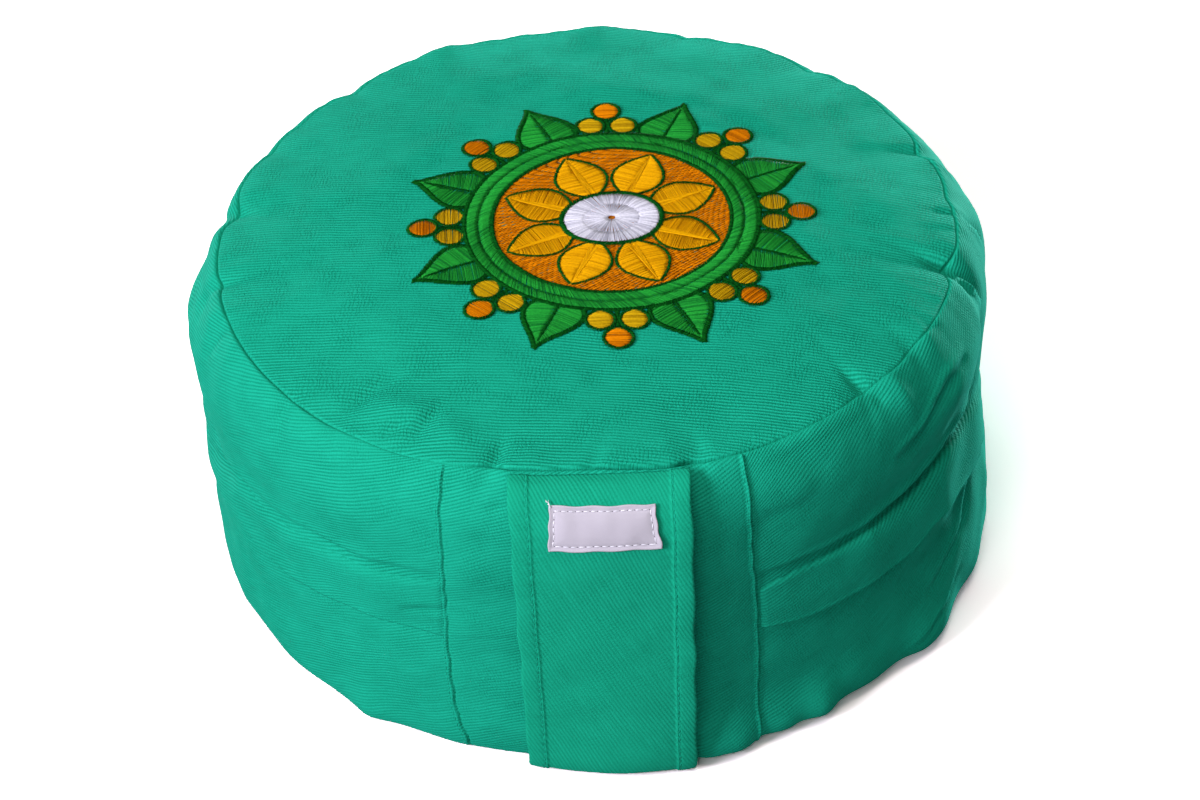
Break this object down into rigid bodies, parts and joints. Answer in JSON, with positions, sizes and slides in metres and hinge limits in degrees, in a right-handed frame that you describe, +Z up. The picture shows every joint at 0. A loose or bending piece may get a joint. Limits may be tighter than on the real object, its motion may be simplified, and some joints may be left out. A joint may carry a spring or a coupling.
{
  "type": "zafu meditation cushion",
  "caption": "Round drum-shaped floor cushion with a crowned top, a lapped opening round its wall and a broad carry strap with a small bare label.",
  "frame": {"origin": "centre of the flat base, on the surface that the cushion stands on", "axes": "+Z up through the crown, -Y towards the carry strap, +X to the right of someone who faces the strap"},
  "size_m": [0.3324, 0.342, 0.15],
  "materials": {
    "green_twill": "matt cotton twill with a visible slanting rib",
    "white_label_tape": "smooth woven label tape",
    "green_thread": "glossy embroidery thread",
    "gold_thread": "glossy embroidery thread",
    "orange_thread": "glossy embroidery thread",
    "white_thread": "glossy embroidery thread"
  },
  "bodies": {
    "root": {"cushion": "green_twill", "zip_flap": "green_twill", "carry_strap": "green_twill", "label": "white_label_tape"}
  },
  "joints": []
}
